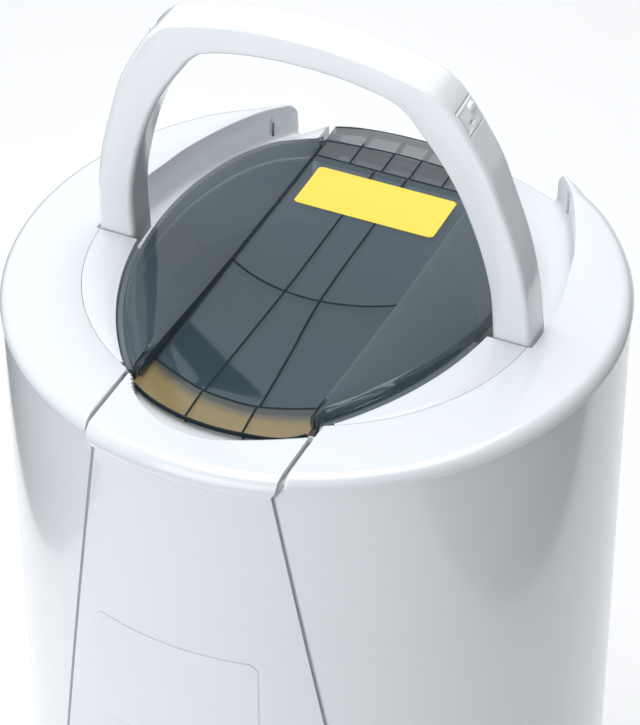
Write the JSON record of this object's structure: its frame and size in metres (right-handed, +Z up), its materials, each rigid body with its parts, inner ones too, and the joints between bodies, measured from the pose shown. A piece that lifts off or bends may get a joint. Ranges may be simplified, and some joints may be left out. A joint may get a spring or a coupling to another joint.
{
  "type": "laundry spin dryer",
  "caption": "Upright cylindrical laundry spin dryer with a smoked see-through hinged lid, a fold-back carrying handle and a tall pull lever in the front.",
  "frame": {"origin": "on the drum axis, at the floor under the feet", "axes": "+Z up along the drum axis; -Y towards the pull lever at the front; +X to the right as seen from the front"},
  "size_m": [0.345, 0.351, 0.7499],
  "materials": {
    "white_plastic": "glossy moulded",
    "smoked_plastic": "glossy see-through grey",
    "yellow_label": "printed film",
    "plain_label": "printed film",
    "black_rubber": "moulded",
    "zinc_steel": "plated",
    "drum_steel": "brushed",
    "grey_metal": "satin",
    "cast_alloy": "as cast",
    "stator_core": "varnished",
    "inner_plastic": "moulded",
    "black_plastic": "moulded",
    "red_plastic": "moulded",
    "grey_plastic": "moulded",
    "capacitor_shell": "moulded"
  },
  "bodies": {
    "housing": {"outer_casing": "white_plastic", "base_pan": "white_plastic", "top_cover": "white_plastic", "inner_ring": "white_plastic", "foot_1": "black_rubber", "casing_screw_1": "zinc_steel", "foot_2": "black_rubber", "casing_screw_2": "zinc_steel", "foot_3": "black_rubber", "casing_screw_3": "zinc_steel", "foot_4": "black_rubber", "casing_screw_4": "zinc_steel", "lever_bracket": "grey_metal", "lever_rod": "zinc_steel", "lever_spring": "zinc_steel", "micro_switch": "black_plastic", "handle_pin_left": "zinc_steel", "handle_pin_right": "zinc_steel", "lid_pin": "zinc_steel", "outer_tub": "inner_plastic", "tub_ring": "inner_plastic", "tub_gasket": "black_rubber", "bearing_upper": "zinc_steel", "bearing_lower": "zinc_steel", "bearing_housing": "cast_alloy", "shaft_seal": "black_rubber", "mount_plate": "grey_metal", "motor_housing": "grey_metal", "motor_stator": "stator_core", "motor_lower_cap": "cast_alloy", "motor_upper_cap": "cast_alloy", "brake_pin": "zinc_steel", "drain_hose": "black_rubber", "drain_spout": "grey_plastic", "cord_gland": "black_plastic", "run_capacitor": "capacitor_shell", "support_post_1": "grey_metal", "rubber_mount_1": "black_rubber", "motor_spacer_1": "zinc_steel", "support_post_2": "grey_metal", "rubber_mount_2": "black_rubber", "motor_spacer_2": "zinc_steel", "support_post_3": "grey_metal", "rubber_mount_3": "black_rubber", "motor_spacer_3": "zinc_steel"},
    "lid_body": {"lid": "smoked_plastic", "lid_label": "yellow_label", "lid_catch": "zinc_steel"},
    "handle_body": {"carry_handle": "white_plastic"},
    "lever_body": {"front_lever": "white_plastic", "front_label": "plain_label", "latch_hook": "zinc_steel"},
    "drum_body": {"spin_drum": "drum_steel", "balance_ring": "inner_plastic", "drum_hub": "inner_plastic", "drive_shaft": "zinc_steel", "motor_rotor": "stator_core", "brake_drum": "cast_alloy"},
    "brake_body": {"brake_arm": "grey_metal"},
    "plunger_body": {"switch_plunger": "red_plastic"}
  },
  "joints": [
    {"name": "lid_hinge", "type": "hinge", "parent": "housing", "child": "lid_body", "pos_m": [0, 0.131, 0.566], "axis": [-1, 0, 0], "range_deg": [0, 17]},
    {"name": "handle_fold", "type": "hinge", "parent": "housing", "child": "handle_body", "pos_m": [0, -0.00603, 0.5755], "axis": [-1, 0, 0], "range_deg": [0, 95.2]},
    {"name": "lever_pull", "type": "hinge", "parent": "housing", "child": "lever_body", "pos_m": [0, -0.148, 0.262], "axis": [1, 0, 0], "range_deg": [0, 3.2], "stiffness_Nm_per_rad": 4, "springref_deg": -8.59},
    {"name": "drum_spin", "type": "hinge", "parent": "housing", "child": "drum_body", "pos_m": [0, 0, 0.226], "axis": [0, 0, 1], "continuous": true},
    {"name": "brake_swing", "type": "hinge", "parent": "housing", "child": "brake_body", "pos_m": [0.062, -0.03, 0.165], "axis": [0, 0, -1], "range_deg": [0, 1.2]},
    {"name": "switch_slide", "type": "slide", "parent": "housing", "child": "plunger_body", "axis": [0, -1, 0], "range_m": [0, 0.0016]}
  ],
  "couplings": [
    {"joint": "brake_swing", "follows": "lever_pull", "ratio": 0.35},
    {"joint": "switch_slide", "follows": "lever_pull", "m_per_rad": 0.026}
  ]
}
